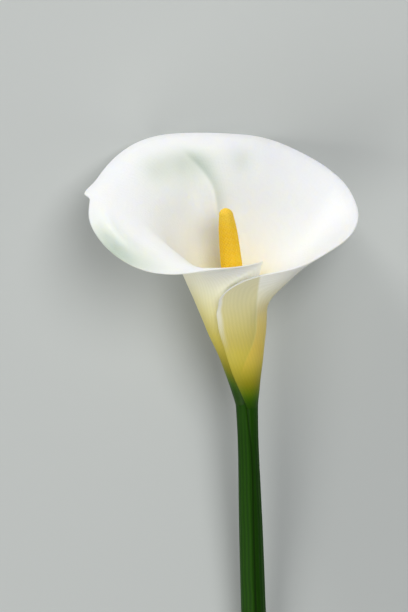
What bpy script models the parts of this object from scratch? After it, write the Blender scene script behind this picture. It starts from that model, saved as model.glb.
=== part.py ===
"""Arum lily flower (Zantedeschia aethiopica): one flower head on its cut stem, lying on a surface.

Three natural pieces, each its own closed solid:
  stem     the fleshy flower stalk, ending in the small knob that carries the other two
  spathe   the white bract, one sheet rolled into a funnel whose outer flap laps over its inner edge
  spadix   the yellow column of tiny florets inside the funnel

Everything is modelled upright, in the flower's own axes: Z runs up the stalk with 0 where the spathe
grows from it, X is to the right of someone who faces the lapped side, and Y is away from them. An
empty then lays the flower down on its back, so that it rests on the far part of its rim and on the
cut end of its stalk. Station tables are in millimetres and degrees.
"""

import math

import bmesh
import bpy
import numpy as np
from mathutils import Matrix, Vector

MM = 0.001

# Driving dimensions, metres
STEM_LENGTH = 0.150
SPATHE_WALL = 0.0010
SEAT_GAP = 0.0003
KNOB_HEIGHT = 0.005
KNOB_RADIUS = 0.0036
KNOB_TAPER = 0.9
SPADIX_BASE = KNOB_HEIGHT + SEAT_GAP
SPADIX_TIP = 0.0865
SPADIX_TIP_FLAT = 0.0004  # the last row of points lies this far below the tip
SPADIX_SHIFT = -0.0008
SPADIX_LEAN = -0.108  # sideways run for each unit of height
STEM_LEAN = -0.036
STEM_BOW = 0.002

# The lying pose: the head's rise above level, and where the spathe's base then is
LAY_TILT = 8.62
LAY_PLACE = (0.01155, 0.0156, 0.0284)

# The grid of the spathe's sheet: cells round the funnel and from base to rim
CELLS_ROUND = 62
CELLS_ALONG = 30

# Facets round each turned piece, and rows of points along it
STEM_SIDES, STEM_ROWS = 24, 20
SPADIX_SIDES, SPADIX_ROWS = 20, 26

# Colour (linear RGB) and roughness of each piece
FINISHES = {
    "stem": ((0.035, 0.085, 0.01), 0.45),
    "spathe": ((0.9, 0.92, 0.88), 0.5),
    "spadix": ((0.93, 0.55, 0.03), 0.7),
}

# Rim of the spathe. The azimuth is unrolled: 0 right, 90 far side, 180 left, 270 near side, and it
# runs from the outer flap (below -60) to the inner edge (above 300). Each station has its place
# (x, y, z), the rise of the limb there above level, and how far the rim pulls the limb straight.
RIM_STATIONS = (
    (-150, -19.0, -15.0, 47.0, 62, 12),
    (-130, -15.5, -19.0, 52.5, 58, 12),
    (-110, -10.0, -22.0, 57.5, 54, 12),
    (-90, -2.5, -24.0, 61.0, 50, 12),
    (-75, 5.0, -25.0, 63.5, 46, 14),
    (-60, 14.5, -25.0, 65.5, 42, 16),
    (-45, 24.0, -21.5, 68.0, 39, 20),
    (-30, 34.0, -16.0, 72.5, 36, 22),
    (-15, 42.0, -8.5, 76.5, 34, 24),
    (0, 46.8, 2.0, 81.8, 32, 26),
    (15, 46.2, 12.5, 87.8, 29, 28),
    (30, 42.0, 22.0, 94.0, 25, 28),
    (45, 33.5, 31.5, 100.0, 19, 28),
    (60, 21.5, 40.0, 105.5, 14, 28),
    (75, 7.5, 44.9, 110.0, 10, 28),
    (90, -8.5, 45.2, 111.8, 8, 28),
    (105, -24.5, 45.2, 112.1, 6, 28),
    (120, -38.5, 44.7, 111.0, 5, 28),
    (135, -50.0, 38.0, 108.0, 4, 28),
    (150, -59.0, 27.0, 102.5, 2, 28),
    (165, -65.5, 15.0, 95.0, -2, 28),
    (180, -67.5, 2.5, 87.5, -10, 28),
    (195, -66.5, -7.0, 81.5, -18, 28),
    (210, -61.0, -16.0, 75.0, -26, 28),
    (225, -52.5, -24.0, 69.5, -30, 28),
    (240, -41.5, -30.0, 66.0, -26, 26),
    (255, -29.5, -33.5, 66.0, -14, 22),
    (270, -18.5, -33.5, 67.5, 4, 18),
    (285, -9.0, -31.0, 68.0, 24, 16),
    (300, 0.0, -27.0, 68.4, 42, 14),
    (315, 6.0, -22.5, 69.0, 52, 14),
    (330, 11.5, -17.5, 70.0, 58, 14),
)
MOUTH_CENTRE = (-11.0, 3.0)

# Rings that guide the funnel from its base to its throat: centre (x, y, z), radii along X and Y,
# the rise of the far side for each unit outward, and how fully the sheet's spiral shows there.
TUBE_RINGS = (
    (0.0, 0.0, 0.0, 4.7, 4.7, 0.0, 0.25),
    (-1.6, 0.0, 9.7, 5.9, 5.9, 0.0, 1.0),
    (-5.5, 0.0, 38.0, 13.8, 13.5, 0.35, 1.0),
    (-9.2, 1.0, 50.0, 14.8, 15.5, 0.65, 1.0),
)
SPIRAL_PITCH = 2.6  # how much nearer the axis the sheet comes in one turn

# Side edges of the sheet: (way up from base to rim, azimuth)
OUTER_EDGE = (
    (0.0, -88), (0.075, -102), (0.15, -111), (0.3, -112), (0.5, -109),
    (0.7, -110.5), (0.84, -117), (0.92, -118), (0.975, -108), (1.0, -88),
)
INNER_EDGE = ((0.0, 262), (0.05, 255), (0.1, 250), (0.2, 268), (0.35, 297), (0.7, 308), (1.0, 313))
EDGE_REACH = (0.35, 0.45)  # the shares of the sheet's width that the outer and inner edge shift

# The beak at the spathe's tip, and the soft fold down its far wall
TIP_AZIMUTH, TIP_WIDTH, TIP_REACH = 171.0, 7.0, (-3.6, 0.8, 0.2)
FOLD_AZIMUTH, FOLD_WIDTH, FOLD_DEPTH, FOLD_MIDDLE, FOLD_LENGTH = 97.0, 9.0, 1.2, 0.78, 0.17

# Half thickness at heights above the spathe's base
STEM_PROFILE = ((-150, 6.0), (-86, 5.5), (-61, 5.3), (-35, 4.85), (-20, 4.6), (-8, 4.7), (-0.45, 5.0))
SPADIX_PROFILE = ((5.3, 3.1), (8, 3.5), (20, 4.1), (40, 4.6), (60, 4.7), (72, 4.2), (80, 3.6), (83.5, 3.1),
                  (85.5, 2.2), (86.5, 0.0))


def spline(stations):
    """Natural cubic spline through rows of (position, values...), as a function of position."""
    rows = np.asarray(stations, float)
    x, y = rows[:, 0], rows[:, 1:]
    step = np.diff(x)
    matrix = np.eye(len(x))
    right = np.zeros_like(y)
    for i in range(1, len(x) - 1):
        matrix[i, i - 1 : i + 2] = step[i - 1], 2 * (step[i - 1] + step[i]), step[i]
        right[i] = 6 * ((y[i + 1] - y[i]) / step[i] - (y[i] - y[i - 1]) / step[i - 1])
    bend = np.linalg.solve(matrix, right)

    def at(position):
        i = int(np.clip(np.searchsorted(x, position) - 1, 0, len(x) - 2))
        b = (position - x[i]) / step[i]
        a = 1 - b
        curve = (a**3 - a) * bend[i] + (b**3 - b) * bend[i + 1]
        return a * y[i] + b * y[i + 1] + curve * step[i] ** 2 / 6

    return at


def bspline_weights(way, count=6, degree=3):
    """Weights of the control points of a cubic B-spline that starts and ends on its end points."""
    inner = count - degree
    knots = [0.0] * degree + [i / inner for i in range(inner + 1)] + [1.0] * degree
    way = min(max(way, 0.0), 1.0 - 1e-9)
    weights = [float(low <= way < high) for low, high in zip(knots, knots[1:])]
    for d in range(1, degree + 1):
        last, weights = weights, []
        for i in range(len(last) - 1):
            rise, fall = knots[i + d] - knots[i], knots[i + d + 1] - knots[i + 1]
            up = (way - knots[i]) / rise * last[i] if rise else 0.0
            down = (knots[i + d + 1] - way) / fall * last[i + 1] if fall else 0.0
            weights.append(up + down)
    return weights


RIM = spline(RIM_STATIONS)
OUTER = spline(OUTER_EDGE)
INNER = spline(INNER_EDGE)
OUTER_MEAN, INNER_MEAN = -110.0, 305.0


def bell(distance, width):
    """1 at no distance, falling smoothly to 0 over a few widths."""
    return math.exp(-((distance / width) ** 2))


def ring_point(azimuth, ring):
    """A point of a guide ring, drawn in as the sheet winds round."""
    cx, cy, cz, rx, ry, rise, spiral = ring
    turn = math.radians(azimuth)
    inward = spiral * SPIRAL_PITCH * (azimuth - 90) / 360
    out = Vector((math.cos(turn), math.sin(turn), 0))
    return Vector((cx + rx * out.x, cy + ry * out.y, cz + rise * ry * out.y)) - out * inward


def spathe_point(azimuth, way):
    """A point of the spathe's middle surface, mm, for an azimuth and a way up from 0 to 1."""
    *place, flare, pull = RIM(azimuth)
    rim = Vector(place) + Vector(TIP_REACH) * bell(azimuth - TIP_AZIMUTH, TIP_WIDTH)
    outward = (rim.xy - Vector(MOUTH_CENTRE)).normalized()
    rise = math.radians(flare)
    limb = Vector((outward.x * math.cos(rise), outward.y * math.cos(rise), math.sin(rise)))
    guides = [ring_point(azimuth, ring) for ring in TUBE_RINGS] + [rim - limb * pull, rim]
    point = sum((g * w for g, w in zip(guides, bspline_weights(way))), Vector())
    fold = bell(azimuth - FOLD_AZIMUTH, FOLD_WIDTH) * bell(way - FOLD_MIDDLE, FOLD_LENGTH)
    return point + Vector((outward.x, outward.y, 0)) * FOLD_DEPTH * fold


def sheet_azimuth(across, way):
    """Azimuth of a sheet point: across runs 0 to 1 from the outer edge to the inner edge."""
    azimuth = OUTER_MEAN + (INNER_MEAN - OUTER_MEAN) * across
    near_outer = max(0.0, 1 - across / EDGE_REACH[0]) ** 2
    near_inner = max(0.0, 1 - (1 - across) / EDGE_REACH[1]) ** 2
    azimuth += (OUTER(way)[0] - OUTER_MEAN) * near_outer
    return azimuth + (INNER(way)[0] - INNER_MEAN) * near_inner


def material(name):
    colour, roughness = FINISHES[name]
    made = bpy.data.materials.new(name)
    made.use_nodes = True
    shader = made.node_tree.nodes["Principled BSDF"]
    shader.inputs["Base Color"].default_value = (*colour, 1)
    shader.inputs["Roughness"].default_value = roughness
    return made


def add_object(name, bm, parent):
    """Links a modelled piece, in its own finish, under the flower's empty."""
    mesh = bpy.data.meshes.new(name)
    bm.to_mesh(mesh)
    bm.free()
    mesh.shade_smooth()
    mesh.materials.append(material(name))
    obj = bpy.data.objects.new(name, mesh)
    obj.parent = parent
    bpy.context.collection.objects.link(obj)
    return obj


def turned(profile, sides, bend):
    """A closed round solid: (radius, height) rows, which start and end on the axis, spun and bent."""
    bm = bmesh.new()
    corners = [bm.verts.new((radius, 0, height)) for radius, height in profile]
    edges = [bm.edges.new(pair) for pair in zip(corners, corners[1:])]
    bmesh.ops.spin(bm, geom=corners + edges, axis=(0, 0, 1), angle=math.tau, steps=sides, use_merge=True)
    bmesh.ops.remove_doubles(bm, verts=bm.verts[:], dist=1e-6)
    bmesh.ops.recalc_face_normals(bm, faces=bm.faces[:])
    for vert in bm.verts:
        vert.co += bend(vert.co.z)
    return bm


def stem_bend(height):
    """How far the stalk's centre is from the flower's axis: a lean to one side and a slight bow."""
    down = min(height, 0) / STEM_LENGTH
    return Vector((STEM_LEAN * min(height, 0), -STEM_BOW * math.sin(math.pi * down), 0))


def spadix_bend(height):
    return Vector((SPADIX_LEAN * (height - SPADIX_BASE) + SPADIX_SHIFT, 0, 0))


def make_stem(parent):
    """The stalk, with a knob on top that fills the spathe's base and carries the spadix."""
    radius = spline(STEM_PROFILE)
    top = STEM_PROFILE[-1][0] * MM
    heights = np.linspace(-STEM_LENGTH, top, STEM_ROWS)
    rows = [(0, -STEM_LENGTH)]
    rows += [(radius(h / MM)[0] * MM, h) for h in heights]
    rows += [(KNOB_RADIUS, top), (KNOB_RADIUS * KNOB_TAPER, KNOB_HEIGHT), (0, KNOB_HEIGHT)]
    return add_object("stem", turned(rows, STEM_SIDES, stem_bend), parent)


def make_spadix(parent):
    radius = spline(SPADIX_PROFILE)
    heights = np.linspace(SPADIX_BASE, SPADIX_TIP - SPADIX_TIP_FLAT, SPADIX_ROWS)
    rows = [(0, SPADIX_BASE)] + [(radius(h / MM)[0] * MM, h) for h in heights] + [(0, SPADIX_TIP)]
    return add_object("spadix", turned(rows, SPADIX_SIDES, spadix_bend), parent)


def make_spathe(parent):
    """The rolled sheet: a flat grid bent onto the funnel, then given its wall."""
    bm = bmesh.new()
    bmesh.ops.create_grid(bm, x_segments=CELLS_ROUND, y_segments=CELLS_ALONG, size=0.5)
    for vert in bm.verts:
        across, way = vert.co.x + 0.5, vert.co.y + 0.5
        vert.co = spathe_point(sheet_azimuth(across, way), way) * MM
    obj = add_object("spathe", bm, parent)
    wall = obj.modifiers.new("wall", "SOLIDIFY")
    wall.thickness = SPATHE_WALL
    wall.offset = 0
    wall.use_even_offset = True
    return obj


def main():
    for obj in list(bpy.data.objects):
        bpy.data.objects.remove(obj)
    flower = bpy.data.objects.new("flower_lying", None)
    bpy.context.collection.objects.link(flower)
    flower.location = LAY_PLACE
    flower.rotation_euler = (math.radians(LAY_TILT - 90), 0, 0)
    make_stem(flower)
    make_spathe(flower)
    make_spadix(flower)


main()
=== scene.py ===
# %% [markdown]
# # An arum lily flower, lying on its back
#
# An arum lily is not a ring of petals. What looks like one white petal is the spathe, a single leaf
# rolled into a funnel, and the yellow column inside it is the spadix, closely packed with the true
# flowers, each the size of a pinhead. Both grow from the top of a thick green stem. This lesson
# builds the three pieces in the place of the plain solids, finishes them with procedural materials,
# and lights them on a pale table.

# %% Load the frame
import math

import bmesh
import bpy
import numpy as np
from mathutils import Matrix, Vector, kdtree, noise


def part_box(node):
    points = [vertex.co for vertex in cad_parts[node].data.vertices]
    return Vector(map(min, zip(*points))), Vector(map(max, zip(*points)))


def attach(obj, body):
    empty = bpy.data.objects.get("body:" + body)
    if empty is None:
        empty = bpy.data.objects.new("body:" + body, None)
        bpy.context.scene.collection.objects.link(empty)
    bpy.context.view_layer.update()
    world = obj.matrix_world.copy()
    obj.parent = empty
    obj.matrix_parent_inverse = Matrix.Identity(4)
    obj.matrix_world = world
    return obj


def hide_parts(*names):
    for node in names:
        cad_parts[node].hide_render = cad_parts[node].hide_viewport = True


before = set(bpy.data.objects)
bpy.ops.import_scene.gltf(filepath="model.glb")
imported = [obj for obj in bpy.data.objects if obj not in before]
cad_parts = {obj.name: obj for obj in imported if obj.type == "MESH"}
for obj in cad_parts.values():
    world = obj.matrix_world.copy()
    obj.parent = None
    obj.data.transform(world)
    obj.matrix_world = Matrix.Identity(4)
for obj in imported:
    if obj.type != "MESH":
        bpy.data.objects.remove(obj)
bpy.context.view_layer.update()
scene = bpy.context.scene
MM = 0.001
print("nodes:", sorted(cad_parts))

# %% [markdown]
# ## Smooth curves through a few points
#
# A petal has hardly a corner, so every outline here is a natural cubic spline: the curve that a
# thin springy strip takes when it is pinned at a few stations. Blender's own curves could do this,
# but a small function can also be asked for any number of points at once.

# %% Splines and soft steps
FINE_PLACES = 4001


def spline(stations):
    """Natural cubic spline through rows of (position, values...), for arrays of positions."""
    rows = np.asarray(stations, float)
    x, y = rows[:, 0], rows[:, 1:]
    step = np.diff(x)
    matrix = np.eye(len(x))
    right = np.zeros_like(y)
    for i in range(1, len(x) - 1):
        matrix[i, i - 1 : i + 2] = step[i - 1], 2 * (step[i - 1] + step[i]), step[i]
        right[i] = 6 * ((y[i + 1] - y[i]) / step[i] - (y[i] - y[i - 1]) / step[i - 1])
    bend = np.linalg.solve(matrix, right)

    def at(position):
        position = np.asarray(position, float)
        i = np.clip(np.searchsorted(x, position) - 1, 0, len(x) - 2)
        h = step[i][..., None]
        b = ((position - x[i]) / step[i])[..., None]
        a = 1 - b
        return a * y[i] + b * y[i + 1] + ((a**3 - a) * bend[i] + (b**3 - b) * bend[i + 1]) * h**2 / 6

    return at


def bell(distance, width):
    """1 at no distance, falling smoothly to 0 over a few widths."""
    return np.exp(-((distance / width) ** 2))


def ease(x):
    """A smooth step from 0 to 1."""
    x = np.clip(x, 0, 1)
    return x * x * (3 - 2 * x)


def crowded(count, middle, width, gain):
    """Places from 0 to 1 that lie closer together round one of them."""
    fine = np.linspace(0, 1, FINE_PLACES)
    density = 1 + gain * bell(fine - middle, width)
    share = np.concatenate([[0], np.cumsum(density[1:] + density[:-1])])
    return np.interp(np.linspace(0, 1, count + 1), share / share[-1], fine)


print("a spline through 0, 1 and 0 is %.2f high halfway up" % spline(((0, 0), (1, 1), (2, 0)))(0.5)[0])


# %% [markdown]
# ## The stem's measures
#
# A flower is easiest to describe upright: Z runs up the stem and is 0 where the spathe begins, X is
# to the right of a person who faces the lapped side, and Y is away from them. The stalk is half as
# thick again as a pencil, juicy and faintly ribbed. Inside the spathe it narrows to a knob that
# carries the spadix. The cut end is a little sunk, because soft flesh shrinks before the rind.

# %% Stem dimensions, in millimetres and degrees
STEM_LENGTH, STEM_LEAN, STEM_BOW = 150.0, -0.036, 2.0
STEM_RADIUS = spline(((-150, 6.0), (-86, 5.5), (-61, 5.3), (-35, 4.85), (-20, 4.6), (-8, 4.68), (0, 4.92)))
STEM_SIDES, STEM_ROWS, SIDE_START = 168, 240, 0.5
SHOULDER = ((4.84, 1.2), (4.45, 2.4), (3.9, 3.4), (3.2, 4.4), (2.5, 5.0))  # radius, height
CUT_FACE = ((0.0, 0.35), (4.9, 0.35), (5.2, 0.1), (5.5, 0.0), (5.85, 0.08))  # radius, height over the cut
FLESH_RADIUS, FLESH_TOP = 5.15, 0.45
CORE_RADIUS, RIND_WIDTH, ON_AXIS = 3.0, 2.0, 0.1
LOBES = ((5, 0.05, 0.4), (9, 0.02, 2.1), (16, 0.012, 4.0))  # how many, how high, where they start
LOBE_FADE = 12.0
GROOVE_TURN = spline(((-150, -74), (-40, -74), (-18, -75), (-8, -84), (0, -92), (6, -96)))
GROOVE_WIDTH, GROOVE_DEPTH, GROOVE_FADE, FACET_DEPTH = 6.5, 0.55, 9.0, 0.14
# Widths of the painted shade: the groove's dark core, and the shaded band turned aside from it
DARK_WIDTH, SHADE_TURN, SHADE_WIDTH = 0.8 * GROOVE_WIDTH, 24.0, 20.0
cut_radius, neck_radius = STEM_RADIUS((-STEM_LENGTH, 0))[:, 0]
print("stem: %.1f mm thick at the cut, %.1f mm at the spathe" % (2 * cut_radius, 2 * neck_radius))

# %% [markdown]
# ## Spin the stem and let it grow
#
# A plain cylinder would look dead. Half of the stem's outline is spun round the axis, which gives
# an even net of faces, and every point is then moved a little: softly lobed, creased where the
# flap's margin runs on down the front, leaned and bowed. Sculpting could do the same, but a move
# worked out from turn and height can be changed by one number. While the outline is still round,
# each point notes its turn, radius and height for the materials.

# %% Spin the stem
def groove_share(turn, height, width):
    """How deep in the groove a point lies, from 0 to 1, for its turn in degrees and its height."""
    away = (turn - float(GROOVE_TURN(height)[0]) + 180) % 360 - 180
    return float(bell(away, width))


def stem_move(point):
    """From the spun rod to the grown stem: lobes, the groove, the lean and the bow."""
    turn, height = math.atan2(point.y, point.x), point.z
    if height <= 0:
        lobes = sum(high * math.cos(count * turn + start) for count, high, start in LOBES)
        deep = FACET_DEPTH + GROOVE_DEPTH * math.exp(height / GROOVE_FADE)
        groove = deep * groove_share(math.degrees(turn), height, GROOVE_WIDTH)
        radius = point.xy.length
        rind = ease((radius - CORE_RADIUS) / RIND_WIDTH)
        point.xy *= (radius + (lobes * min(1, -height / LOBE_FADE) - groove) * rind) / max(radius, ON_AXIS)
    point.x += STEM_LEAN * min(height, 0)
    point.y -= STEM_BOW * math.sin(math.pi * -min(height, 0) / STEM_LENGTH)
    return point


def spun(line, sides):
    """A round closed body from (radius, height) rows that start and end on the axis."""
    bm = bmesh.new()
    corners = [bm.verts.new((radius, 0, height)) for radius, height in line]
    edges = [bm.edges.new(pair) for pair in zip(corners, corners[1:])]
    bmesh.ops.spin(bm, geom=corners + edges, axis=(0, 0, 1), angle=math.tau, steps=sides, use_merge=True)
    bmesh.ops.remove_doubles(bm, verts=bm.verts[:], dist=0.001)
    bmesh.ops.recalc_face_normals(bm, faces=bm.faces[:])
    bm.normal_update()
    return bm


def stem_shape():
    heights = np.linspace(-STEM_LENGTH + SIDE_START, 0, STEM_ROWS)
    line = [(radius, height - STEM_LENGTH) for radius, height in CUT_FACE]
    line += [(float(STEM_RADIUS(h)[0]), h) for h in heights] + list(SHOULDER) + [(0.0, SHOULDER[-1][1])]
    bm = spun(line, STEM_SIDES)
    marks = {"side_x": [], "side_y": [], "span": [], "height": [], "crease": [], "shade": []}
    for vert in bm.verts:
        turn, radius = math.degrees(math.atan2(vert.co.y, vert.co.x)), vert.co.xy.length
        marks["side_x"].append(vert.co.x / max(radius, ON_AXIS))
        marks["side_y"].append(vert.co.y / max(radius, ON_AXIS))
        marks["span"].append(radius)
        marks["height"].append(vert.co.z)
        # How deep each point lies in the painted shade of the groove and of the band beside it
        marks["crease"].append(groove_share(turn, vert.co.z, DARK_WIDTH))
        marks["shade"].append(groove_share(turn - SHADE_TURN, vert.co.z, SHADE_WIDTH))
    for face in bm.faces:
        middle = face.calc_center_median()
        on_cut = middle.z < FLESH_TOP - STEM_LENGTH and middle.xy.length < FLESH_RADIUS
        face.material_index = int(on_cut)
    for vert in bm.verts:
        vert.co = stem_move(vert.co.copy()) * MM
    return bm, marks


stem_bm, stem_marks = stem_shape()
print("stem:", len(stem_bm.verts), "points,", len(stem_bm.faces), "faces")

# %% [markdown]
# ## Lay the flower down
#
# The real flower has been picked and laid on its back, so its head rises a little above level. One
# matrix turns every finished mesh from its upright axes into that resting place. The turn is known,
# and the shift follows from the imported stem: the middle of the turned stem has to meet the middle
# of its solid. The matrix could also stay on the objects, but a mesh that already lies in place
# keeps its patterns where they are when it is exported.

# %% The resting place
HEAD_RISE = math.radians(8.62)
TURN = Matrix.Rotation(HEAD_RISE - math.pi / 2, 4, "X")


def box_middle(points):
    return Vector([(min(values) + max(values)) / 2 for values in zip(*points)])


REST = box_middle(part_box("stem")) - box_middle([TURN @ vert.co for vert in stem_bm.verts])
LYING = Matrix.Translation(REST) @ TURN
print("the spathe's base lies at, mm:", tuple(round(c / MM, 2) for c in REST))

# %% [markdown]
# ## Finish a piece
#
# Every piece ends in the same way, so one function does it: it lays the bmesh down and makes an
# object of it. The marks, one number for each point, become attributes that the materials read.
# Unlike a coordinate, an attribute stays on the petal however the petal bends. Last the piece is
# tied to the body it rides on, and the solid that it stands for is hidden.

# %% Finish a piece
def made_object(name, bm, materials):
    mesh = bpy.data.meshes.new(name)
    bm.to_mesh(mesh)
    bm.free()
    for finish in materials:
        mesh.materials.append(finish)
    thing = bpy.data.objects.new(name, mesh)
    scene.collection.objects.link(thing)
    print(f"{name}: {len(mesh.vertices)} points, {len(mesh.polygons)} faces")
    return thing


def finish_piece(name, bm, node, materials, marks):
    """Lays an upright mesh down, gives it its materials and marks, and ties it to the frame."""
    bmesh.ops.transform(bm, matrix=LYING, verts=bm.verts[:])
    piece = made_object(name, bm, materials)
    piece.data.shade_smooth()
    for mark, values in marks.items():
        layer = piece.data.attributes.new(mark, "FLOAT", "POINT")
        layer.data.foreach_set("value", np.asarray(values, np.float32))
    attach(piece, "root")
    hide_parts(node)
    return piece


# %% [markdown]
# ## Colours and masks
#
# Materials are graphs of nodes. A few short helpers keep their cells readable: one adds a node with
# its settings, others mix colours by a mask or grade them by height. A plant's colours belong to
# places on it, so most masks come from the marks that its points carry.

# %% Node helpers
def srgb(red, green, blue):
    """A colour picked on screen, 0 to 255, as the linear numbers that the renderer works with."""
    parts = [c / 255 for c in (red, green, blue)]
    return (*(c / 12.92 if c <= 0.04045 else ((c + 0.055) / 1.055) ** 2.4 for c in parts), 1.0)


def add(tree, kind, inputs=(), **settings):
    """Adds a node, sets its properties, and links or sets its inputs."""
    node = tree.nodes.new(kind)
    for name, value in settings.items():
        setattr(node, name, value)
    for name, value in dict(inputs).items():
        if isinstance(value, bpy.types.NodeSocket):
            tree.links.new(value, node.inputs[name])
        else:
            node.inputs[name].default_value = value
    return node


def maths(tree, operation, first, second=0.0, clamp=False):
    return add(tree, "ShaderNodeMath", {0: first, 1: second}, operation=operation, use_clamp=clamp).outputs[0]


def plus(tree, first, second):
    return maths(tree, "ADD", first, second)


def times(tree, first, second):
    """A weaker mask, or one that is only there where two masks are."""
    return maths(tree, "MULTIPLY", first, second)


def mixed(tree, mask, first, second, blend="MIX"):
    inputs = {0: mask, 6: first, 7: second}
    return add(tree, "ShaderNodeMix", inputs, data_type="RGBA", blend_type=blend).outputs[2]


def tinted(tree, colour, tint, mask, share, blend="MIX"):
    """Lays a screen colour over another one, by a share of a mask."""
    return mixed(tree, times(tree, mask, share), colour, srgb(*tint), blend)


def measured(tree, value, low, high):
    """A mask that rises smoothly from 0 to 1 as the value goes from low to high."""
    inputs = {"Value": value, "From Min": low, "From Max": high}
    return add(tree, "ShaderNodeMapRange", inputs, interpolation_type="SMOOTHSTEP").outputs["Result"]


def graded(tree, place, stops):
    """A colour ramp along the flower, from rows of (place, screen colour) that start at 0."""
    top = stops[-1][0]
    node = add(tree, "ShaderNodeValToRGB", {"Fac": maths(tree, "DIVIDE", place, top, clamp=True)})
    elements = node.color_ramp.elements
    elements[0].color, elements[1].color = srgb(*stops[0][1]), srgb(*stops[-1][1])
    for stop, colour in stops[1:-1]:
        elements.new(stop / top).color = srgb(*colour)
    return node.outputs["Color"]


def attribute(tree, name):
    return add(tree, "ShaderNodeAttribute", attribute_name=name).outputs["Fac"]


def object_place(tree):
    return add(tree, "ShaderNodeTexCoord").outputs["Object"]


def dressed(tree, shader, colour, relief, distance):
    """Links a shader's colour, and a bump as high as the distance in metres where the relief is 1."""
    tree.links.new(colour, shader.inputs["Base Color"])
    bump = add(tree, "ShaderNodeBump", {"Height": relief, "Distance": distance})
    tree.links.new(bump.outputs["Normal"], shader.inputs["Normal"])


print("a grey of 128 on screen is %.3f to the renderer" % srgb(128, 128, 128)[0])

# %% [markdown]
# ## Materials and groups
#
# Each finish is one Principled shader, because that is what other programs can read. Steady values
# sit on its own sockets, and only what changes over the surface is linked. An effect that several
# finishes share is a node group, built once and placed in each with its own numbers.

# %% Material helpers
def new_material(name, roughness, specular=0.5):
    made = bpy.data.materials.new(name)
    made.use_nodes = True
    print("material:", name)
    shader = made.node_tree.nodes["Principled BSDF"]
    shader.inputs["Roughness"].default_value = roughness
    shader.inputs["Specular IOR Level"].default_value = specular
    return made, made.node_tree, shader


def soak(shader, weight, radius, scale):
    """Lets light soak in and spread, as it does in juicy tissue."""
    shader.inputs["Subsurface Weight"].default_value = weight
    shader.inputs["Subsurface Radius"].default_value = radius
    shader.inputs["Subsurface Scale"].default_value = scale


def new_group(name, inputs, output):
    """A shader node group: inputs are (name, default) floats or vectors, the output is a float."""
    tree = bpy.data.node_groups.new(name, "ShaderNodeTree")
    for label, default in inputs:
        kind = "NodeSocketFloat" if isinstance(default, float) else "NodeSocketVector"
        socket = tree.interface.new_socket(name=label, in_out="INPUT", socket_type=kind)
        if isinstance(default, float):
            socket.default_value = default
    tree.interface.new_socket(name=output, in_out="OUTPUT", socket_type="NodeSocketFloat")
    return tree, tree.nodes.new("NodeGroupInput").outputs, tree.nodes.new("NodeGroupOutput").inputs


def use_group(tree, group, inputs):
    return add(tree, "ShaderNodeGroup", inputs, node_tree=group).outputs[0]


# %% [markdown]
# ## Two effects that the whole plant shares
#
# This plant is built of long cells in rows. On the petal they show as fine veins, on the stem as
# ribs, so one group draws lines across any measured coordinate and lets them waver. A second group
# is the skin's grain, two layers of noise at the scale of cells.

# %% Shared node groups
WAVER_SCALE, COARSE_SHARE = 90.0, 0.12


def make_line_group():
    inputs = (("Across", 0.0), ("Spacing", 1.0), ("Waver", 0.3), ("Place", ()))
    tree, source, result = new_group("growth_lines", inputs, "Lines")
    slow = add(tree, "ShaderNodeTexNoise", {"Vector": source["Place"], "Scale": WAVER_SCALE, "Detail": 2.0})
    drift = times(tree, maths(tree, "SUBTRACT", slow.outputs["Fac"], 0.5), source["Waver"])
    turns = plus(tree, maths(tree, "DIVIDE", source["Across"], source["Spacing"]), drift)
    wave = maths(tree, "SINE", times(tree, turns, math.tau))
    halved = plus(tree, times(tree, wave, 0.5), 0.5)
    tree.links.new(halved, result["Lines"])
    return tree


def make_grain_group():
    tree, source, result = new_group("cell_grain", (("Place", ()), ("Scale", 1500.0)), "Grain")
    place, scale = source["Place"], source["Scale"]
    fine = add(tree, "ShaderNodeTexNoise", {"Vector": place, "Scale": scale, "Detail": 3.0})
    broad = times(tree, scale, COARSE_SHARE)
    coarse = add(tree, "ShaderNodeTexNoise", {"Vector": place, "Scale": broad, "Detail": 2.0})
    both = plus(tree, fine.outputs["Fac"], coarse.outputs["Fac"])
    tree.links.new(times(tree, both, 0.5), result["Grain"])
    return tree


GROWTH_LINES = make_line_group()
CELL_GRAIN = make_grain_group()
print("shared effects:", sorted(group.name for group in bpy.data.node_groups))


def growth_lines(tree, across, spacing, waver):
    inputs = {"Across": across, "Spacing": spacing, "Waver": waver, "Place": object_place(tree)}
    return use_group(tree, GROWTH_LINES, inputs)


def cell_grain(tree, scale):
    return use_group(tree, CELL_GRAIN, {"Place": object_place(tree), "Scale": scale})


# %% [markdown]
# ## The stem's skin
#
# The skin is a deep satin green with long faint ribs, a little fresher near the flower, and painted
# shade darkens it in the groove and in a band beside it. The ribs need the turn round the stem. A
# stored turn would jump from 180 to -180 at the back and smear every rib over one strip, so the mesh
# stores its cosine and sine, and the material takes the angle itself.

# %% Stem skin
DEGREES = 360 / math.tau
STEM_DARK, STEM_LIGHT, STEM_TOP = (22, 60, 0), (36, 82, 0), (36, 80, 0)
STEM_SHADE, STEM_CREASE_SHADE = (12, 48, 0), (5, 18, 0)
BROAD_RIBS, FINE_RIBS = (20.0, 0.6), (5.0, 1.2)  # degrees apart, and how much they waver
BROAD_SHARE, FINE_SHARE = 0.6, 0.4
SHADE_SHARE, CREASE_SHADE_SHARE, TOP_SHARE = 0.5, 0.75, 0.45
TOP_HEIGHTS = (-22.0, 1.0)
SKIN_GRAIN, SKIN_GRAIN_SHARE, SKIN_RELIEF = 1500.0, 0.5, 0.0001


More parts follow.
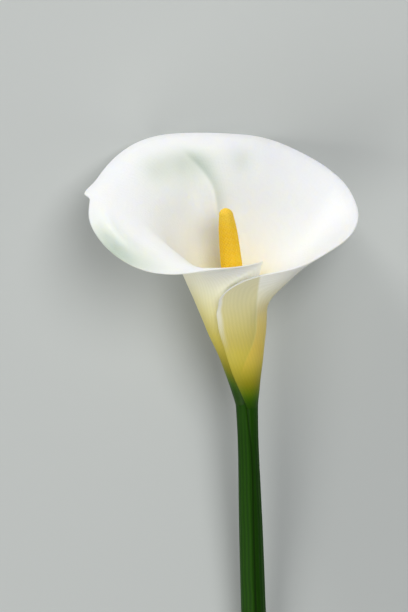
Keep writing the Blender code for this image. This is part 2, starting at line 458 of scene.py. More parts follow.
def make_stem_skin():
    made, tree, shader = new_material("stem_skin", roughness=0.5, specular=0.1)
    turn = maths(tree, "ARCTAN2", attribute(tree, "side_y"), attribute(tree, "side_x"))
    degrees = times(tree, turn, DEGREES)
    broad, fine = growth_lines(tree, degrees, *BROAD_RIBS), growth_lines(tree, degrees, *FINE_RIBS)
    lines = plus(tree, times(tree, broad, BROAD_SHARE), times(tree, fine, FINE_SHARE))
    base = mixed(tree, lines, srgb(*STEM_DARK), srgb(*STEM_LIGHT))
    # Painted shade: darker green in a band beside the groove, nearly black in the groove itself
    colour = tinted(tree, base, STEM_SHADE, attribute(tree, "shade"), SHADE_SHARE)
    colour = tinted(tree, colour, STEM_CREASE_SHADE, attribute(tree, "crease"), CREASE_SHADE_SHARE)
    top = measured(tree, attribute(tree, "height"), *TOP_HEIGHTS)
    colour = tinted(tree, colour, STEM_TOP, top, TOP_SHARE)
    grain = times(tree, cell_grain(tree, SKIN_GRAIN), SKIN_GRAIN_SHARE)
    dressed(tree, shader, colour, plus(tree, lines, grain), SKIN_RELIEF)
    soak(shader, weight=0.06, radius=(0.5, 1.0, 0.2), scale=0.001)
    return made


stem_skin = make_stem_skin()

# %% [markdown]
# ## The cut end's flesh
#
# Inside the rind the flesh is pale and spongy, full of canals that carry air down to roots in wet
# ground. Modelling hundreds of tiny holes would cost more than they show. A Voronoi pattern draws
# just such a net, with a wall wherever the distance to the edge of a cell is small. Between the
# walls, painted shade darkens the canals, where the inside of a hole would be dark.

# %% Cut flesh, then the whole stem
CANAL_SCALE, CANAL_WALL = 1300.0, (0.16, 0.02)
RIND_SPAN = (3.9, 5.0)
FLESH, RIND, CANAL_SHADE, CANAL_SHADE_SHARE = (206, 214, 160), (112, 142, 56), (110, 126, 64), 0.35
FLESH_RELIEF = 0.0003


def make_stem_flesh():
    made, tree, shader = new_material("stem_flesh", roughness=0.35)
    net = {"Vector": object_place(tree), "Scale": CANAL_SCALE}
    cells = add(tree, "ShaderNodeTexVoronoi", net, feature="DISTANCE_TO_EDGE")
    wall = measured(tree, cells.outputs["Distance"], *CANAL_WALL)
    rind = measured(tree, attribute(tree, "span"), *RIND_SPAN)
    flesh = mixed(tree, rind, srgb(*FLESH), srgb(*RIND))
    # Painted shade: the open canals are darker than the walls of flesh
    canal = mixed(tree, CANAL_SHADE_SHARE, flesh, srgb(*CANAL_SHADE))
    dressed(tree, shader, mixed(tree, wall, canal, flesh), wall, FLESH_RELIEF)
    soak(shader, weight=0.25, radius=(0.8, 1.0, 0.4), scale=0.001)
    return made


finish_piece("stem_stalk", stem_bm, "stem", [stem_skin, make_stem_flesh()], stem_marks)

# %% [markdown]
# ## The spathe's outline
#
# The rim is one line that starts low on the outer flap, climbs round the right side, passes behind
# the spadix, dips over the left shoulder and ends inside the flap, more than a full turn later. So
# its azimuth is unrolled: 0 is right, 90 the far side, 180 left, 270 the near side, and values past
# either end belong to the lap. Each station also says how steeply the limb rises there, below 0
# where it rolls over, and how far it stays straight. A curve drawn by hand could do this, but in a
# table each station can be moved alone.

# %% Rim, tube and side edges, in millimetres and degrees
RIM = spline((
    (-150, -19, -15, 47, 62, 12),
    (-130, -15.5, -19, 52.5, 58, 12),
    (-110, -10, -22, 57.5, 54, 12),
    (-90, -2.5, -24, 61, 50, 12),
    (-75, 5, -25, 63.5, 46, 14),
    (-60, 14.5, -25, 65.5, 42, 16),
    (-45, 24, -21.5, 68, 39, 20),
    (-30, 34, -16, 72.5, 36, 22),
    (-15, 42, -8.5, 76.5, 34, 24),
    (0, 46.8, 2, 81.8, 32, 26),
    (15, 46.2, 12.5, 87.8, 29, 28),
    (30, 42, 22, 94, 25, 28),
    (45, 33.5, 31.5, 100, 19, 28),
    (60, 21.5, 40, 105.5, 14, 28),
    (75, 7.5, 44.9, 110, 10, 28),
    (90, -8.5, 45.2, 111.8, 8, 28),
    (105, -24.5, 45.2, 112.1, 6, 28),
    (120, -38.5, 44.7, 111, 5, 28),
    (135, -50, 38, 108, 4, 28),
    (150, -59, 27, 102.5, 2, 28),
    (165, -65.5, 15, 95, -2, 28),
    (180, -67.5, 2.5, 87.5, -10, 28),
    (195, -66.5, -7, 81.5, -18, 28),
    (210, -61, -16, 75, -26, 28),
    (225, -52.5, -24, 69.5, -30, 28),
    (240, -41.5, -30, 66, -26, 26),
    (255, -29.5, -33.5, 66, -14, 22),
    (270, -18.5, -33.5, 67.5, 4, 18),
    (285, -9, -31, 68, 24, 16),
    (300, 0, -27, 68.4, 42, 14),
    (315, 6, -22.5, 69, 52, 14),
    (330, 11.5, -17.5, 70, 58, 14),
))
MOUTH_CENTRE = np.array((-11.0, 3.0))

# Guide rings: middle x, y, z, half width, half depth, rise of the far side, share of the spiral
TUBE_RINGS = (
    (0.0, 0.0, -1.2, 4.6, 4.6, 0.0, 0.08),
    (-1.6, 0.0, 9.7, 5.9, 5.9, 0.0, 1.0),
    (-5.5, 0.0, 38.0, 13.8, 13.5, 0.35, 1.0),
    (-9.2, 1.0, 50.0, 14.8, 15.5, 0.65, 1.0),
)
SPIRAL_PITCH, FAR_TURN = 2.6, 90.0

# Side edges: the way up from base to rim, and the azimuth
OUTER_EDGE = spline((
    (0.0, -88), (0.075, -102), (0.15, -111), (0.3, -112), (0.5, -109),
    (0.7, -110.5), (0.84, -117), (0.92, -118), (0.975, -108), (1.0, -88),
))
INNER_EDGE = spline((
    (0.0, 262), (0.06, 262), (0.12, 264), (0.2, 275), (0.3, 302), (0.4, 321),
    (0.5, 327), (0.7, 328), (0.8, 325), (0.9, 320), (1.0, 313),
))
OUTER_MEAN, INNER_MEAN = -110.0, 305.0
OUTER_REACH, INNER_REACH = 0.35, 0.45
mouth = np.ptp(RIM(np.arange(OUTER_MEAN, INNER_MEAN))[:, :2], axis=0)
print("mouth: %.0f mm wide, %.0f mm from its near rim to its far rim" % tuple(mouth))

# %% [markdown]
# ## From a flat sheet to a funnel
#
# Any point of the sheet has an azimuth and a way up from base to rim. Six control points guide it
# up: four on rings round the tube, one just inside the rim, one on the rim itself. A cubic B-spline
# blends them, as it would in a lofted surface, so the funnel opens in one smooth sweep. The rings
# tighten as they wind, so that the outer flap lies over the inner edge instead of cutting it.

# %% The funnel's surface
LAST_WAY = 1 - 1e-9  # keeps the rim itself inside the last span of the spline


def bspline_weights(way, count=6, degree=3):
    """Weights of each control point, for an array of ways from 0 to 1."""
    inner = count - degree
    knots = [0.0] * degree + [i / inner for i in range(inner + 1)] + [1.0] * degree
    way = np.clip(way, 0, LAST_WAY)
    weights = [((low <= way) & (way < high)).astype(float) for low, high in zip(knots, knots[1:])]
    for d in range(1, degree + 1):
        last, weights = weights, []
        for i in range(len(last) - 1):
            rise, fall = knots[i + d] - knots[i], knots[i + d + 1] - knots[i + 1]
            up = (way - knots[i]) / rise * last[i] if rise else 0 * way
            down = (knots[i + d + 1] - way) / fall * last[i + 1] if fall else 0 * way
            weights.append(up + down)
    return weights


def ring_points(azimuth, ring):
    """Points of one guide ring, which winds inward as the azimuth grows."""
    middle_x, middle_y, middle_z, half_width, half_depth, rise, spiral = ring
    turn = np.radians(azimuth)
    inward = spiral * SPIRAL_PITCH * (azimuth - FAR_TURN) / 360
    right, away = np.cos(turn), np.sin(turn)
    x = middle_x + (half_width - inward) * right
    y = middle_y + (half_depth - inward) * away
    return np.stack([x, y, middle_z + rise * half_depth * away], -1)


def funnel_points(azimuth, way):
    """Points of the spathe's middle surface, for arrays of azimuths and ways."""
    station = RIM(azimuth)
    rim = station[..., :3]
    outward = rim[..., :2] - MOUTH_CENTRE
    outward /= np.linalg.norm(outward, axis=-1, keepdims=True)
    flare, pull = np.radians(station[..., 3:4]), station[..., 4:5]
    limb = np.concatenate([outward * np.cos(flare), np.sin(flare)], -1)
    guides = [ring_points(azimuth, ring) for ring in TUBE_RINGS] + [rim - limb * pull, rim]
    points = sum(g * w[..., None] for g, w in zip(guides, bspline_weights(way)))
    points[..., :2] += outward * pushed_out(azimuth, way)[..., None]
    return points + beak(azimuth, way)

# %% [markdown]
# ## What makes it grown and not turned
#
# The leaf was folded in the bud, so its far wall keeps a crease that runs down to the tip of the
# spadix. The wall drops back at once on the crease's right and comes forward again slowly, and
# shallow dishes lie under the top of the rim. The tip of the leaf is a small hooked beak on the
# left of the rim. All three could be sculpted. Here they are small moves added to the funnel, which
# keeps its main shape easy to change.

# %% Crease, dish and beak
CREASE_LINE = spline((
    (0.5, 99), (0.7, 100), (0.772, 101), (0.812, 102.8), (0.842, 106.3), (0.892, 113.7), (1, 122),
))
CREASE_DEPTH, CREASE_SOFT, CREASE_STEEP, CREASE_SLOW = 6.5, 3.0, 14.0, 38.0
CREASE_MIDDLE, CREASE_LENGTH, CREASE_TOP_FADE = 0.83, 0.12, 0.12
# Dishes: turn and its width, way up and its length, depth
DISH_PLACES = ((116, 19, 0.875, 0.05, 2.8), (142, 12, 0.90, 0.045, 1.6), (77, 7, 0.90, 0.04, 1.3))
BEAK_TURN, BEAK_ABOVE, BEAK_BELOW, BEAK_START = 171.5, 5.4, 2.6, 0.95
BEAK_REACH = np.array((-3.1, 0.2, -0.4))
print("the crease's middle lies at azimuth %.0f" % CREASE_LINE(CREASE_MIDDLE)[0])


def dishes(azimuth, way):
    """How deep the shallow dishes are at a place, mm."""
    return sum(
        depth * bell(azimuth - turn, width) * bell(way - middle, length)
        for turn, width, middle, length, depth in DISH_PLACES
    )


def pushed_out(azimuth, way):
    """How far the crease and the dishes push the wall away from the funnel's middle, mm."""
    right = CREASE_LINE(way)[..., 0] - azimuth
    right = (right + np.sqrt(right**2 + CREASE_SOFT**2)) / 2
    drop = (1 - np.exp(-right / CREASE_STEEP)) * np.exp(-right / CREASE_SLOW)
    drop *= bell(way - CREASE_MIDDLE, CREASE_LENGTH) * ease((1 - way) / CREASE_TOP_FADE)
    return CREASE_DEPTH * drop + dishes(azimuth, way)


def beak(azimuth, way):
    """How far the hooked tip carries a place of the rim along with it, mm."""
    aside = azimuth - BEAK_TURN
    width = np.where(aside < 0, BEAK_ABOVE, BEAK_BELOW)
    share = bell(aside, width) * ease((way - BEAK_START) / (1 - BEAK_START)) ** 2
    return BEAK_REACH * share[..., None]


# %% [markdown]
# ## The sheet, and how far each point is from its edges
#
# The sheet's grid is closer where the shape is small: round the beak and along the rim. Three
# things on a spathe follow its edges: it thins towards them, it curls outward at the very margin,
# and its veins run side by side with them. So each point needs its distance from the nearest edge.
# A soft minimum of the distance to the side edge and to the rim rounds the corner of the flap,
# where the veins really do turn from running up to running along.

# %% Measure the sheet
ROUND, ALONG = 330, 118
TIP_SHARE = (BEAK_TURN - OUTER_MEAN) / (INNER_MEAN - OUTER_MEAN)
TIP_CROWD, RIM_CROWD = (0.02, 4), (0.06, 2)  # width, and how many times closer
CORNER, ON_EDGE = 2.2, 0.05


def sheet_azimuths(across, way):
    """Azimuths of sheet points: across runs 0 to 1 from the outer edge to the inner edge."""
    near_outer = np.maximum(0, 1 - across / OUTER_REACH) ** 2
    near_inner = np.maximum(0, 1 - (1 - across) / INNER_REACH) ** 2
    azimuth = OUTER_MEAN + (INNER_MEAN - OUTER_MEAN) * across
    azimuth += (OUTER_EDGE(way)[..., 0] - OUTER_MEAN) * near_outer
    return azimuth + (INNER_EDGE(way)[..., 0] - INNER_MEAN) * near_inner


def run_lengths(points, axis):
    """Distance along the sheet from its first row, in the direction of the axis."""
    steps = np.linalg.norm(np.diff(points, axis=axis), axis=-1)
    start = np.zeros_like(np.take(steps, [0], axis=axis))
    return np.concatenate([start, np.cumsum(steps, axis=axis)], axis=axis)


def from_edges(side, rim):
    """A soft minimum of two distances, mm."""
    return ((side + ON_EDGE) ** -CORNER + (rim + ON_EDGE) ** -CORNER) ** (-1 / CORNER)


columns, rows = crowded(ROUND, TIP_SHARE, *TIP_CROWD), crowded(ALONG, 1, *RIM_CROWD)
across, way = np.meshgrid(columns, rows, indexing="ij")
azimuth = sheet_azimuths(across, way)
sheet = funnel_points(azimuth, way)
from_outer = run_lengths(sheet, 0)
from_inner = from_outer[-1:] - from_outer
from_base = run_lengths(sheet, 1)
from_rim = from_base[:, -1:] - from_base
flap_depth = from_edges(from_outer, from_rim)
edge_depth = from_edges(np.minimum(from_outer, from_inner), from_rim)
print("sheet: %.0f mm round its rim, %.0f mm from base to rim" % (from_outer[-1, -1], from_rim[:, 0].max()))

# %% [markdown]
# ## Where grey-green shade is painted
#
# In the dishes, beside the crease and along the low left rim, where the wall lies in shade, the
# spathe's white is painted grey-green: painted shade. A texture could carry it, but it belongs to
# places that the shape already knows, so it is worked out from the same lines.

# %% Painted grey-green shade
GREY_TURN, GREY_SPAN, GREY_RIM, GREY_ROLL = 220.0, 24.0, 1.0, 7.0
GREY_CREASE, GREY_BAND, GREY_EASE, GREY_DISH = 0.44, 11.0, 2.0, 0.18
GREY_TOP, GREY_TOP_FADE = 0.94, 0.06


def painted_shade():
    """How much painted grey-green shade each point of the sheet has, from 0 to 1."""
    right = CREASE_LINE(way)[..., 0] - azimuth
    share = GREY_CREASE * ease((right + GREY_EASE) / (2 * GREY_EASE)) * bell(np.maximum(right, 0), GREY_BAND)
    share *= bell(way - CREASE_MIDDLE, CREASE_LENGTH) * ease((GREY_TOP - way) / GREY_TOP_FADE)
    share += GREY_DISH * dishes(azimuth, way)
    share += GREY_RIM * bell(azimuth - GREY_TURN, GREY_SPAN) * bell(from_rim, GREY_ROLL)
    return np.minimum(share, 1)


# The painted shade, carried to the inside skin as the mark grey
grey = painted_shade()
print("grey-green reaches %.2f and is %.2f on average" % (grey.max(), grey.mean()))

# %% [markdown]
# ## Margins that curl and roll
#
# No margin of a real petal ends flat. The outer flap and the near lip curl outward, and the low
# left rim rolls over. A curve could be swept along each edge, but moving the sheet's own points
# along its normals keeps one unbroken skin. Slow noise, its waves as wide as a fingertip, keeps
# that skin from looking machined.

# %% Shape the margins
CURL_WIDTH, CURL_OUT, CURL_START, CURL_FADE = 4.5, 0.8, 22.0, 35.0
CURL_TURN, CURL_SPAN = 40.0, 80.0
ROLL_WIDTH, ROLL_UNDER, ROLL_CROWN = 7.0, 0.6, 1.8
ROLL_TURN, ROLL_SPAN = 211.0, 24.0
LIP_WIDTH, LIP_OUT, LIP_TURN, LIP_SPAN = 4.0, 0.5, 240.0, 20.0
WAVE_LENGTH, WAVE_HEIGHT, STILL_EDGE, STILL_BASE = 13.0, 0.35, 6.0, 25.0


def sheet_normals(points):
    normal = np.cross(np.gradient(points, axis=0), np.gradient(points, axis=1))
    return normal / np.linalg.norm(normal, axis=-1, keepdims=True)


def slow_noise(points):
    values = [noise.noise(Vector(point)) for point in points.reshape(-1, 3) / WAVE_LENGTH]
    return np.reshape(values, points.shape[:-1])


def shaped(points):
    """The sheet with its rolled margins and its slow unevenness, mm."""
    flap = np.maximum(0, 1 - flap_depth / CURL_WIDTH) ** 2 * ease((CURL_TURN - azimuth) / CURL_SPAN)
    roll = np.maximum(0, 1 - from_rim / ROLL_WIDTH) ** 2 * ROLL_UNDER
    roll -= ROLL_CROWN * bell(from_rim - ROLL_WIDTH, ROLL_WIDTH / 2)
    low_left = roll * bell(azimuth - ROLL_TURN, ROLL_SPAN)
    lip = LIP_OUT * np.maximum(0, 1 - from_rim / LIP_WIDTH) ** 2 * ease((azimuth - LIP_TURN) / LIP_SPAN)
    waves = WAVE_HEIGHT * slow_noise(points) * ease(edge_depth / STILL_EDGE) * ease(from_base / STILL_BASE)
    move = CURL_OUT * flap * ease((from_base - CURL_START) / CURL_FADE) + low_left + lip + waves
    return points + sheet_normals(points) * move[..., None]


bent = shaped(sheet)
print("margins and unevenness move the sheet by up to %.1f mm" % np.abs(bent - sheet).max())

# %% [markdown]
# ## The petal's colours
#
# Outside, the funnel is green where it leaves the stem, turns through olive and straw yellow to
# cream, and is white by the time it opens. Inside, a green throat turns to cream and then to a
# faintly cool white. Both are colour ramps: outside by height, inside by the way from base to rim,
# so that one ramp fits the low near wall and the high far wall. The wall is thin and juicy: light
# soaks in and spreads, which is what subsurface scattering does.

# %% Petal colours: outside by height in mm, inside by hundredths of the way from base to rim
OUTSIDE_STOPS = (
    (0, (36, 74, 0)), (4, (62, 102, 0)), (8, (116, 130, 12)), (13, (166, 156, 36)),
    (19, (206, 190, 66)), (27, (232, 216, 104)), (38, (246, 237, 170)), (50, (249, 246, 218)),
    (62, (251, 251, 243)), (76, (251, 252, 251)),
)
INSIDE_STOPS = (
    (0, (110, 128, 36)), (16, (200, 196, 104)), (36, (246, 234, 188)), (54, (254, 247, 222)),
    (66, (252, 249, 236)), (78, (246, 247, 241)), (90, (246, 248, 244)), (100, (250, 252, 249)),
)
print("colour stops:", len(OUTSIDE_STOPS), "outside and", len(INSIDE_STOPS), "inside")


def petal_surface(shader, weight):
    """Thin juicy tissue with a trace of down."""
    soak(shader, weight, radius=(1.0, 0.9, 0.65), scale=0.0015)
    shader.inputs["Sheen Weight"].default_value = 0.02
    shader.inputs["Sheen Roughness"].default_value = 0.4


# %% [markdown]
# ## The outside of the petal
#
# Green climbs higher along the midrib, on the left, than near the flap's margin, and it ends in
# streaks because each vein carries it a different way up. Where the flap lies over the inner edge
# the petal is double and lets less light through, so painted shade dulls it there, and painted light
# makes the single layer beside it glow yellow, as light shining through it would. The flap's margin
# is painted paler, partly its own paler edge and partly painted light through the thin tissue. Each
# is a mask from one of the petal's marks, laid over the ramp in turn. The veins run up the back of
# the funnel and follow the margins on its front.

# %% Petal outside
# Turns in degrees, levels and depths in mm; a range that falls turns its mask round
EDGE_VEINS, UP_VEINS = (1.45, 0.7), (2.9, 0.9)  # how far apart, and how much they waver
LEFT_FRONT, RIGHT_FRONT = (205.0, 250.0), (15.0, -35.0)
STREAK_LENGTH = 3.0
UNDER_FLAP, DOUBLE_SHADE_LEVELS, DOUBLE_SHADE_SHARE, DOUBLE_SHADE = (-0.5, 0.7), (20.0, 34.0), 0.5, (212, 202, 130)
# Where the painted glow of light through the single layer lies, its colour and its share
BESIDE_FLAP, GLOW_TURNS = (0.5, -0.7), (40.0, -10.0)
GLOW_STARTS, GLOW_ENDS, GLOW_SHARE, GLOW = (14.0, 28.0), (58.0, 36.0), 0.6, (244, 208, 92)
VEIN_SHARE, VEIN = 0.09, (196, 200, 160)
MARGIN_DEPTH, MARGIN_LEVELS, MARGIN_SHARE, MARGIN = (3.0, 1.2), (24.0, 52.0), 0.85, (250, 249, 240)
VEIN_RELIEF, OUTSIDE_GRAIN, OUTSIDE_RELIEF = 0.16, 1800.0, 0.00008


def make_petal_outside():
    made, tree, shader = new_material("petal_outside", roughness=0.5, specular=0.15)
    turn, depth, lap = (attribute(tree, name) for name in ("azimuth", "edge_depth", "lap"))
    beside = growth_lines(tree, depth, *EDGE_VEINS)
    rays = growth_lines(tree, attribute(tree, "ray"), *UP_VEINS)
    front = plus(tree, measured(tree, turn, *LEFT_FRONT), measured(tree, turn, *RIGHT_FRONT))
    lines = mixed(tree, front, rays, beside)
    streak = times(tree, maths(tree, "SUBTRACT", rays, 0.5), STREAK_LENGTH)
    level = plus(tree, attribute(tree, "rise"), streak)
    colour = graded(tree, level, OUTSIDE_STOPS)
    # Painted shade where the petal lies double
    double = times(tree, measured(tree, lap, *UNDER_FLAP), measured(tree, level, *DOUBLE_SHADE_LEVELS))
    colour = tinted(tree, colour, DOUBLE_SHADE, double, DOUBLE_SHADE_SHARE, "MULTIPLY")
    # Painted light: a yellow glow on the single layer beside the flap
    single = times(tree, measured(tree, lap, *BESIDE_FLAP), measured(tree, turn, *GLOW_TURNS))
    band = times(tree, measured(tree, level, *GLOW_STARTS), measured(tree, level, *GLOW_ENDS))
    colour = tinted(tree, colour, GLOW, times(tree, single, band), GLOW_SHARE)
    colour = tinted(tree, colour, VEIN, lines, VEIN_SHARE, "MULTIPLY")
    # The margin is painted paler: partly its own paler edge, partly painted light through the thin tissue
    margin = times(tree, measured(tree, depth, *MARGIN_DEPTH), measured(tree, level, *MARGIN_LEVELS))
    colour = tinted(tree, colour, MARGIN, margin, MARGIN_SHARE)
    relief = plus(tree, times(tree, lines, VEIN_RELIEF), cell_grain(tree, OUTSIDE_GRAIN))
    dressed(tree, shader, colour, relief, OUTSIDE_RELIEF)
    petal_surface(shader, weight=0.4)
    return made


petal_outside = make_petal_outside()

# %% [markdown]
# ## The inside of the petal
#
# The inner skin is waxier than the outer one. Its veins show as a faint relief and hardly as colour,
# so both sets of lines are mixed evenly and used weakly. The painted grey-green shade lies over
# the ramp.

# %% Petal inside
WALL_VEINS, RIM_VEINS = (2.9, 1.2), (1.9, 1.2)
# The grey-green of the painted shade, and how much of it lies over the ramp
SHADE_GREY_GREEN, SHADE_GREY_SHARE = (172, 188, 177), 0.9
INNER_VEIN, INNER_VEIN_SHARE = (220, 224, 206), 0.03
INNER_VEIN_RELIEF, INSIDE_GRAIN, INSIDE_RELIEF = 0.12, 1300.0, 0.00018


def make_petal_inside():
    made, tree, shader = new_material("petal_inside", roughness=0.45, specular=0.35)
    colour = graded(tree, attribute(tree, "way"), INSIDE_STOPS)
    # Painted shade: grey-green in the dishes, beside the crease and on the rolled low left rim
    colour = tinted(tree, colour, SHADE_GREY_GREEN, attribute(tree, "grey"), SHADE_GREY_SHARE)
    rays = growth_lines(tree, attribute(tree, "ray"), *WALL_VEINS)
    beside = growth_lines(tree, attribute(tree, "edge_depth"), *RIM_VEINS)
    lines = times(tree, plus(tree, rays, beside), 0.5)
    colour = tinted(tree, colour, INNER_VEIN, lines, INNER_VEIN_SHARE, "MULTIPLY")
    relief = plus(tree, times(tree, lines, INNER_VEIN_RELIEF), cell_grain(tree, INSIDE_GRAIN))
    dressed(tree, shader, colour, relief, INSIDE_RELIEF)
    petal_surface(shader, weight=1.0)
    return made


petal_inside = make_petal_inside()

# %% [markdown]
# ## The spathe itself
#
# A flat grid from bmesh is bent onto the funnel, which keeps every face a neat quad that follows
# the flower. A Solidify modifier gives the sheet its wall. A vertex group thins that wall towards
# the edges, and the inner skin takes the second material, because the inside and the outside
# differ. A Bevel rounds the cut of the margin. To know where the petal lies double, each point of
# the flap is compared with the hidden inner edge at its own height.

# %% Build the spathe
WALL, THIN_EDGE, THIN_BASE = 0.9 * MM, 0.55, 0.5
EDGE_TAPER, BASE_TAPER = 5.0, 8.0
EDGE_ROUND, ROUND_STEPS, SHARP_ANGLE = 0.14 * MM, 2, math.radians(60)
FLAP_END, OFF_FLAP = 60.0, -50.0
GREEN_CLIMB, MIDRIB_TURN, MIDRIB_WIDTH = 7.0, 195.0, 75.0
RAY_SPREAD = 0.3


def layered():
    """How far each point lies left of the hidden inner edge at its height, mm; below 0 off the flap."""
    hidden_edge = np.interp(sheet[..., 2], sheet[-1, :, 2], sheet[-1, :, 0])
    return np.where(azimuth < FLAP_END, hidden_edge - sheet[..., 0], OFF_FLAP)


def spathe_marks():
    return {
        "rise": sheet[..., 2] - GREEN_CLIMB * bell(azimuth - MIDRIB_TURN, MIDRIB_WIDTH),
        "azimuth": azimuth,
        "ray": azimuth + (azimuth - BEAK_TURN) * RAY_SPREAD * way**3,
        "way": way * 100,
        "edge_depth": edge_depth,
        "grey": grey,
        "lap": layered(),
    }


def grid_place(vert):
    return round((vert.co.x + 0.5) * ROUND), round((vert.co.y + 0.5) * ALONG)


def make_spathe(materials):
    """Bends a flat grid onto the funnel; returns the piece and each point's column and row."""
    bm = bmesh.new()
    bmesh.ops.create_grid(bm, x_segments=ROUND, y_segments=ALONG, size=0.5)
    places = [grid_place(vert) for vert in bm.verts]
    points = bent * MM
    for vert, place in zip(bm.verts, places):
        vert.co = Vector(points[place])
    i, j = np.array(places).T
    marks = {name: values[i, j] for name, values in spathe_marks().items()}
    return finish_piece("spathe_petal", bm, "spathe", materials, marks), (i, j)


def add_wall(piece, places):
    """Gives the sheet its two skins and its rounded margin."""
    share = THIN_EDGE + (1 - THIN_EDGE) * ease(edge_depth / EDGE_TAPER)
    share *= THIN_BASE + (1 - THIN_BASE) * ease(from_base / BASE_TAPER)
    group = piece.vertex_groups.new(name="wall")
    for index, value in enumerate(share[places]):
        group.add([index], float(value), "REPLACE")
    wall = piece.modifiers.new("wall", "SOLIDIFY")
    wall.thickness = WALL
    wall.offset = 0
    wall.use_even_offset = True
    wall.vertex_group = "wall"
    wall.material_offset = 1
    rounding = piece.modifiers.new("round margin", "BEVEL")
    rounding.width = EDGE_ROUND
    rounding.segments = ROUND_STEPS
    rounding.limit_method = "ANGLE"
    rounding.angle_limit = SHARP_ANGLE
    rounding.miter_outer = "MITER_ARC"


spathe, places = make_spathe([petal_outside, petal_inside])
add_wall(spathe, places)

# %% [markdown]
# ## The spadix
#
# The column is a smooth tapering rod packed with florets. Like the seeds of a sunflower they grow
# one after another at the golden angle, which is why they sit in crossing spirals. A random scatter
# would be simpler, but it leaves gaps and clumps. Each one here is a golden angle on from the last,
# and higher by as much as gives every floret the same area.

# %% Place the florets
SPADIX_BASE, CAP_START, CAP_HEIGHT = 5.3, 83.5, 2.9
SPADIX_RADIUS = spline((
    (5.3, 3.1), (8, 3.5), (20, 4.0), (40, 4.45), (60, 4.5), (72, 4.05), (80, 3.4), (83.5, 2.85),
))
GOLDEN_ANGLE = math.pi * (3 - math.sqrt(5))
FLORET_SPACING, FIRST_FLORET, SMALL_STEP, LEAST_RADIUS = 1.12, 0.4, 0.05, 0.35
ROW_PACKING = math.sqrt(3) / 2
TIP_MARGIN = 0.001  # keeps the radius over 0 up to the very tip


def spadix_radius(height):
    """Radius at a height: a spline up to the cap, then a round end."""
    body = SPADIX_RADIUS(np.minimum(height, CAP_START))[..., 0]
    share = np.clip((height - CAP_START) / (CAP_HEIGHT + TIP_MARGIN), 0, 1)
    return body * np.sqrt(1 - share**2)


def floret_centres():
    """Floret middles up the rod, each a golden angle on from the last."""
    centres, height, turn = [], SPADIX_BASE + FIRST_FLORET, 0.0
    while height < CAP_START + CAP_HEIGHT - SMALL_STEP:
        radius = max(float(spadix_radius(np.array(height))), LEAST_RADIUS)
        centres.append((radius * math.cos(turn), radius * math.sin(turn), height))
        above = float(spadix_radius(np.array(height + SMALL_STEP)))
        slope = math.hypot(1, (radius - above) / SMALL_STEP)
        height += FLORET_SPACING**2 * ROW_PACKING / (math.tau * radius * slope)
        turn += GOLDEN_ANGLE
    return centres


florets = floret_centres()
print(len(florets), "florets")

# %% [markdown]
# ## The florets' finish
#
# They are the yellow of egg yolk, paler on the cap and duller low down in the funnel, and painted
# shade turns them a deeper orange in the seams between them. One flat yellow would look like
# plastic, so each floret also has its own tone, which its points carry as a mark.

# %% Floret finish
YOLK, TIP_YOLK, TIP_HEIGHTS = (254, 203, 26), (254, 212, 62), (76.0, 85.0)
LOW_YOLK, LOW_HEIGHTS, LOW_SHARE = (226, 190, 70), (30.0, 6.0), 0.6
PALE_YOLK, TONE_SHARE = (255, 216, 92), 0.3
SEAM_SHADE_YOLK, SEAM_CROWN, SEAM_SHADE_SHARE = (222, 142, 8), (0.55, 0.0), 0.65
FLORET_GRAIN, FLORET_RELIEF = 4000.0, 0.00006


def make_floret_finish():
    made, tree, shader = new_material("spadix_florets", roughness=0.62, specular=0.3)
    height = attribute(tree, "height")
    colour = mixed(tree, measured(tree, height, *TIP_HEIGHTS), srgb(*YOLK), srgb(*TIP_YOLK))
    colour = tinted(tree, colour, LOW_YOLK, measured(tree, height, *LOW_HEIGHTS), LOW_SHARE)
    colour = tinted(tree, colour, PALE_YOLK, attribute(tree, "tone"), TONE_SHARE)
    # Painted shade: a deeper orange in the seams between the florets
    seam = measured(tree, attribute(tree, "crown"), *SEAM_CROWN)
    colour = tinted(tree, colour, SEAM_SHADE_YOLK, seam, SEAM_SHADE_SHARE)
    dressed(tree, shader, colour, cell_grain(tree, FLORET_GRAIN), FLORET_RELIEF)
    soak(shader, weight=0.2, radius=(1.0, 0.6, 0.15), scale=0.001)
    return made


floret_finish = make_floret_finish()

# %% [markdown]
# ## Raise the florets
#
# Beads glued on would hide most of their faces inside the rod. So the rod is spun with a fine mesh
# and pushed out under each floret, lowest where it meets its neighbours. A k-d tree finds the two
# florets nearest to each point: where both are equally far, there is a seam.

# %% Spin the rod and raise the florets
SPADIX_LEAN, SPADIX_SHIFT = -0.108, -0.8
SPADIX_SIDES, SPADIX_ROWS, CAP_ROWS = 156, 400, 24
FLORET_HEIGHT, FLORET_SEAM, BARE_FOOT = 0.24, 0.22, 1.5


def spadix_rod():
    """The smooth rod, from its foot to its round cap."""
    heights = np.linspace(SPADIX_BASE, CAP_START, SPADIX_ROWS)
    cap = CAP_START + CAP_HEIGHT * np.sin(np.linspace(0, math.pi / 2, CAP_ROWS)[1:])
    heights = np.concatenate([heights, cap])
    radii = spadix_radius(heights)
    radii[-1] = 0
    return spun([(0.0, heights[0])] + list(zip(radii, heights)), SPADIX_SIDES)


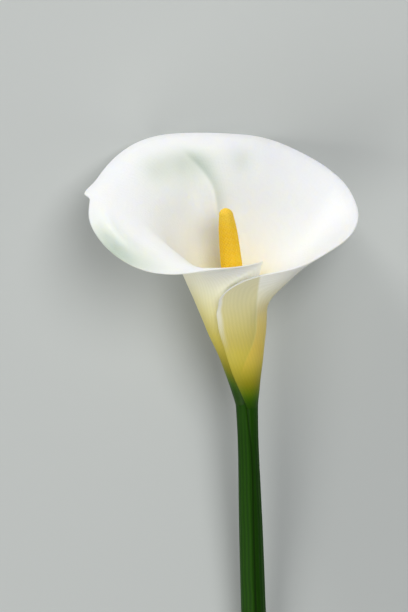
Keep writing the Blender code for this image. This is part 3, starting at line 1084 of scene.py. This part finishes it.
def make_spadix(materials):
    bm = spadix_rod()
    tree = kdtree.KDTree(len(florets))
    for index, centre in enumerate(florets):
        tree.insert(centre, index)
    tree.balance()
    marks = {"crown": [], "tone": [], "height": [vert.co.z for vert in bm.verts]}
    moves = []
    for vert in bm.verts:
        (_, first, near), (_, _, far) = tree.find_n(vert.co, 2)
        swell = 1 - math.exp(-(far - near) / FLORET_SEAM)
        foot = min(1.0, max(0.0, vert.co.z - SPADIX_BASE) / BARE_FOOT)
        moves.append(vert.normal * FLORET_HEIGHT * swell * foot)
        marks["crown"].append(swell)
        marks["tone"].append(first * GOLDEN_ANGLE % 1)
    for vert, move in zip(bm.verts, moves):
        vert.co += move
        vert.co.x += SPADIX_SHIFT + SPADIX_LEAN * (vert.co.z - SPADIX_BASE)
        vert.co *= MM
    finish_piece("spadix_column", bm, "spadix", materials, marks)


make_spadix([floret_finish])

# %% [markdown]
# ## The table
#
# White petals need a table that is pale but not white, or their outline is lost. One flat face is
# enough, far wider than the view.

# %% The table
TABLE_HALF, TABLE_GREY = 8, (198, 202, 201)

table_bm = bmesh.new()
bmesh.ops.create_grid(table_bm, x_segments=1, y_segments=1, size=TABLE_HALF)
table_top, _, shader = new_material("table_top", roughness=0.9)
shader.inputs["Base Color"].default_value = srgb(*TABLE_GREY)
made_object("table", table_bm, [table_top])

# %% [markdown]
# ## Light
#
# Three soft lights look at the flower's head. The key is the smallest and so the hardest. It shines
# low from beyond the head on the left, as an evening sun would, and draws the crease and the rolled
# rim. A broad one nearly overhead fills the throat, and a third, on the near left, lights the
# outside of the funnel. A faint bluish sky lifts what is left.

# %% Lights
HEAD = Vector((0, 0.08, 0.03))
# Each light: name, direction from the head, distance and width in metres, power in watts, colour
LIGHTS = (
    ("key", (-0.45, 0.86, 0.24), 1.4, 0.4, 11.0, (1.0, 0.985, 0.95)),
    ("fill", (0.32, 0.28, 1.0), 1.5, 0.9, 11.6, (1.0, 0.995, 0.985)),
    ("front", (-0.5, -0.62, 0.6), 1.5, 0.8, 8.5, (1.0, 0.99, 0.96)),
)
SKY_COLOUR, SKY_STRENGTH = (0.92, 0.96, 1.0, 1), 0.12


def add_light(name, direction, distance, size, power, colour):
    """A round soft light that looks at the flower's head."""
    data = bpy.data.lights.new(name, "AREA")
    data.shape = "DISK"
    data.size = size
    data.energy = power
    data.color = colour
    light = bpy.data.objects.new(name, data)
    away = Vector(direction).normalized()
    light.location = HEAD + away * distance
    light.rotation_euler = away.to_track_quat("Z", "Y").to_euler()
    scene.collection.objects.link(light)
    print(f"{name}: {power} W, {math.degrees(math.asin(away.z)):.0f} degrees above the table")


for light in LIGHTS:
    add_light(*light)
sky = bpy.data.worlds.new("studio")
sky.use_nodes = True
background = sky.node_tree.nodes["Background"]
background.inputs["Color"].default_value = SKY_COLOUR
background.inputs["Strength"].default_value = SKY_STRENGTH
scene.world = sky
scene.view_settings.view_transform = "Standard"

# %% [markdown]
# ## Camera
#
# The camera looks almost straight down, which shows the lying flower as a person sees it who holds
# it upright. So it is placed in the flower's own upright axes and laid down with it. A long lens
# from farther off keeps the funnel's proportions true.

# %% Camera
LOOK_DOWN = math.radians(14)
LENS, SENSOR, DISTANCE = 100, 36, 0.731
AIM = Vector((-0.0187, 0, 0.0439))

forward = Vector((0, math.cos(LOOK_DOWN), -math.sin(LOOK_DOWN)))
up = Vector((0, math.sin(LOOK_DOWN), math.cos(LOOK_DOWN)))
upright = Matrix((Vector((1, 0, 0)), up, -forward)).transposed().to_4x4()
upright.translation = AIM - forward * DISTANCE
view = bpy.data.cameras.new("camera")
view.lens = LENS
view.sensor_width = SENSOR
camera = bpy.data.objects.new("camera", view)
camera.matrix_world = LYING @ upright
scene.collection.objects.link(camera)
scene.camera = camera
print("camera at", tuple(round(c, 3) for c in camera.matrix_world.translation))
